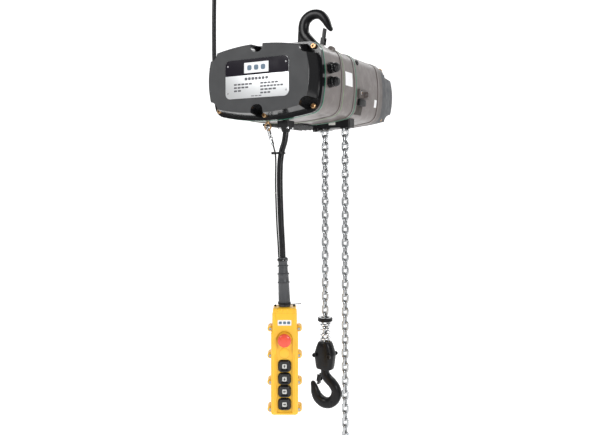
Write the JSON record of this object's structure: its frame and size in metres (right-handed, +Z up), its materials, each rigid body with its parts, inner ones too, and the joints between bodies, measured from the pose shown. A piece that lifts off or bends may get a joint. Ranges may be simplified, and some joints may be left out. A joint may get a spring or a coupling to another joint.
{
  "type": "electric chain hoist",
  "caption": "Electric chain hoist hung by a latched hook, with a chain and load hook below, a driven load wheel and a push-button pendant on a cable.",
  "frame": {"origin": "saddle of the suspension hook, where the hoist hangs", "axes": "+X along the front cover from the supply cord's side to the chains' side, +Y from the front cover to the rear cover, +Z up"},
  "size_m": [0.442, 0.612, 1.5112],
  "materials": {
    "cover_black": "charcoal powder coat, satin",
    "housing_paint": "warm grey enamel, satin",
    "rear_paint": "mid grey powder coat, satin",
    "flange_paint": "brown grey enamel, satin",
    "gasket_green": "green sealing sheet",
    "gasket_pale": "pale green sealing sheet",
    "plate_metal": "brushed, printed black band",
    "zinc_yellow": "yellow passivated zinc",
    "chain_zinc": "bright zinc",
    "hook_black": "black enamel on a forging",
    "spring_steel": "bright plated spring wire",
    "black_plastic": "black moulding",
    "cord_black": "black cable jacket",
    "boot_grey": "dark grey rubber",
    "pendant_yellow": "yellow moulding, fine texture",
    "button_black": "glossy black cap",
    "stop_red": "red mushroom head",
    "inner_steel": "machined",
    "winding": "varnished copper",
    "inner_plastic": "light grey moulding"
  },
  "bodies": {
    "hoist_body": {"front_cover": "cover_black", "front_cover_screws": "zinc_yellow", "nameplate": "plate_metal", "nameplate_rivets": "chain_zinc", "front_gasket": "gasket_green", "control_housing": "housing_paint", "middle_gasket": "gasket_pale", "gearbox_housing": "housing_paint", "rear_gasket": "gasket_green", "motor_housing": "housing_paint", "rear_flange": "flange_paint", "rear_cover": "rear_paint", "rear_cover_screws": "zinc_yellow", "side_glands": "black_plastic", "chain_guide": "black_plastic", "chain_bag_bracket": "housing_paint", "hook_yoke": "hook_black", "yoke_screws": "inner_steel", "power_elbow": "black_plastic", "power_cord": "cord_black", "ceiling_fitting": "black_plastic", "cable_gland": "black_plastic", "small_screws": "inner_steel", "eye_bolt": "zinc_yellow", "snap_hook": "chain_zinc", "stay_wire": "cord_black", "pendant_cable": "cord_black", "cable_ties": "black_plastic", "cable_boot": "boot_grey", "boot_clamp": "chain_zinc", "pendant_front": "pendant_yellow", "pendant_back": "pendant_yellow", "pendant_screws": "inner_steel", "motor_stator": "winding", "shaft_bearings": "chain_zinc", "brake_coil": "winding", "control_gear": "inner_plastic", "wheel_chain": "chain_zinc"},
    "suspension_hook": {"top_hook": "hook_black"},
    "suspension_latch": {"top_latch": "chain_zinc"},
    "motor_shaft": {"motor_rotor": "inner_steel"},
    "middle_shaft": {"intermediate_gear": "inner_steel"},
    "load_shaft": {"load_wheel": "inner_steel", "load_gear": "inner_steel"},
    "load_fall": {"load_chain": "chain_zinc", "block_shells": "hook_black", "block_bolts": "chain_zinc", "buffer_spring": "spring_steel"},
    "buffer": {"buffer_plate": "black_plastic"},
    "swivel_hook": {"load_hook": "hook_black"},
    "hook_latch": {"load_latch": "chain_zinc"},
    "tail_fall": {"tail_chain": "chain_zinc", "tail_stop": "black_plastic"},
    "limit_switch": {"limit_lever": "inner_steel"},
    "key_up": {"button_up": "button_black"},
    "key_down": {"button_down": "button_black"},
    "key_left": {"button_left": "button_black"},
    "key_right": {"button_right": "button_black"},
    "stop_stem": {"stop_plunger": "black_plastic"},
    "stop_head": {"stop_button": "stop_red"}
  },
  "joints": [
    {"name": "hook_swivel", "type": "hinge", "parent": "hoist_body", "child": "suspension_hook", "pos_m": [0, 0, -0.12], "axis": [0, 0, 1], "continuous": true},
    {"name": "top_latch_hinge", "type": "hinge", "parent": "suspension_hook", "child": "suspension_latch", "pos_m": [0.028, 0, -0.078], "axis": [0, 1, 0], "range_deg": [-42, 0], "stiffness_Nm_per_rad": 0.08, "springref_deg": 28.65},
    {"name": "motor_turn", "type": "hinge", "parent": "hoist_body", "child": "motor_shaft", "pos_m": [-0.08, 0, -0.2225], "axis": [0, 1, 0], "range_deg": [-2990, 2990]},
    {"name": "middle_shaft_turn", "type": "hinge", "parent": "hoist_body", "child": "middle_shaft", "pos_m": [-0.01224, 0, -0.19816], "axis": [0, 1, 0], "range_deg": [-599, 599]},
    {"name": "load_wheel_turn", "type": "hinge", "parent": "hoist_body", "child": "load_shaft", "pos_m": [0.0692, 0, -0.2225], "axis": [0, 1, 0], "range_deg": [-129, 129]},
    {"name": "lift", "type": "slide", "parent": "hoist_body", "child": "load_fall", "axis": [0, 0, 1], "range_m": [-0.0751, 0.0751], "deforming": ["wheel_chain"]},
    {"name": "tail_run", "type": "slide", "parent": "hoist_body", "child": "tail_fall", "axis": [0, 0, 1], "range_m": [-0.0751, 0.0751]},
    {"name": "buffer_press", "type": "slide", "parent": "load_fall", "child": "buffer", "axis": [0, 0, -1], "range_m": [0, 0.025], "stiffness_N_per_m": 1500, "springref_m": -0.004, "deforming": ["buffer_spring"]},
    {"name": "load_hook_swivel", "type": "hinge", "parent": "load_fall", "child": "swivel_hook", "pos_m": [0.035, 0, -1.07], "axis": [0, 0, 1], "continuous": true},
    {"name": "load_latch_hinge", "type": "hinge", "parent": "swivel_hook", "child": "hook_latch", "pos_m": [0.017, 0, -1.112], "axis": [0, 1, 0], "range_deg": [-41, 0], "stiffness_Nm_per_rad": 0.08, "springref_deg": 28.65},
    {"name": "limit_lever_hinge", "type": "hinge", "parent": "hoist_body", "child": "limit_switch", "pos_m": [0.008, 0, -0.35], "axis": [0, 1, 0], "range_deg": [-2.5, 0], "stiffness_Nm_per_rad": 0.6, "springref_deg": 5.73},
    {"name": "up_key_press", "type": "slide", "parent": "hoist_body", "child": "key_up", "axis": [-0.4848, 0.8746, 0], "range_m": [0, 0.0035], "stiffness_N_per_m": 300, "springref_m": -0.002},
    {"name": "down_key_press", "type": "slide", "parent": "hoist_body", "child": "key_down", "axis": [-0.4848, 0.8746, 0], "range_m": [0, 0.0035], "stiffness_N_per_m": 300, "springref_m": -0.002},
    {"name": "left_key_press", "type": "slide", "parent": "hoist_body", "child": "key_left", "axis": [-0.4848, 0.8746, 0], "range_m": [0, 0.0035], "stiffness_N_per_m": 300, "springref_m": -0.002},
    {"name": "right_key_press", "type": "slide", "parent": "hoist_body", "child": "key_right", "axis": [-0.4848, 0.8746, 0], "range_m": [0, 0.0035], "stiffness_N_per_m": 300, "springref_m": -0.002},
    {"name": "stop_press", "type": "slide", "parent": "hoist_body", "child": "stop_stem", "axis": [-0.4848, 0.8746, 0], "range_m": [0, 0.004]},
    {"name": "stop_twist", "type": "hinge", "parent": "stop_stem", "child": "stop_head", "pos_m": [0.015, -0.213, -0.9435], "axis": [0.4848, -0.8746, 0], "range_deg": [0, 45], "stiffness_Nm_per_rad": 0.05, "springref_deg": -17.19}
  ],
  "couplings": [
    {"joint": "middle_shaft_turn", "follows": "motor_turn", "ratio": -0.2},
    {"joint": "load_wheel_turn", "follows": "motor_turn", "ratio": 0.042857},
    {"joint": "lift", "follows": "motor_turn", "m_per_rad": 0.0014324},
    {"joint": "tail_run", "follows": "motor_turn", "m_per_rad": -0.0014324}
  ]
}
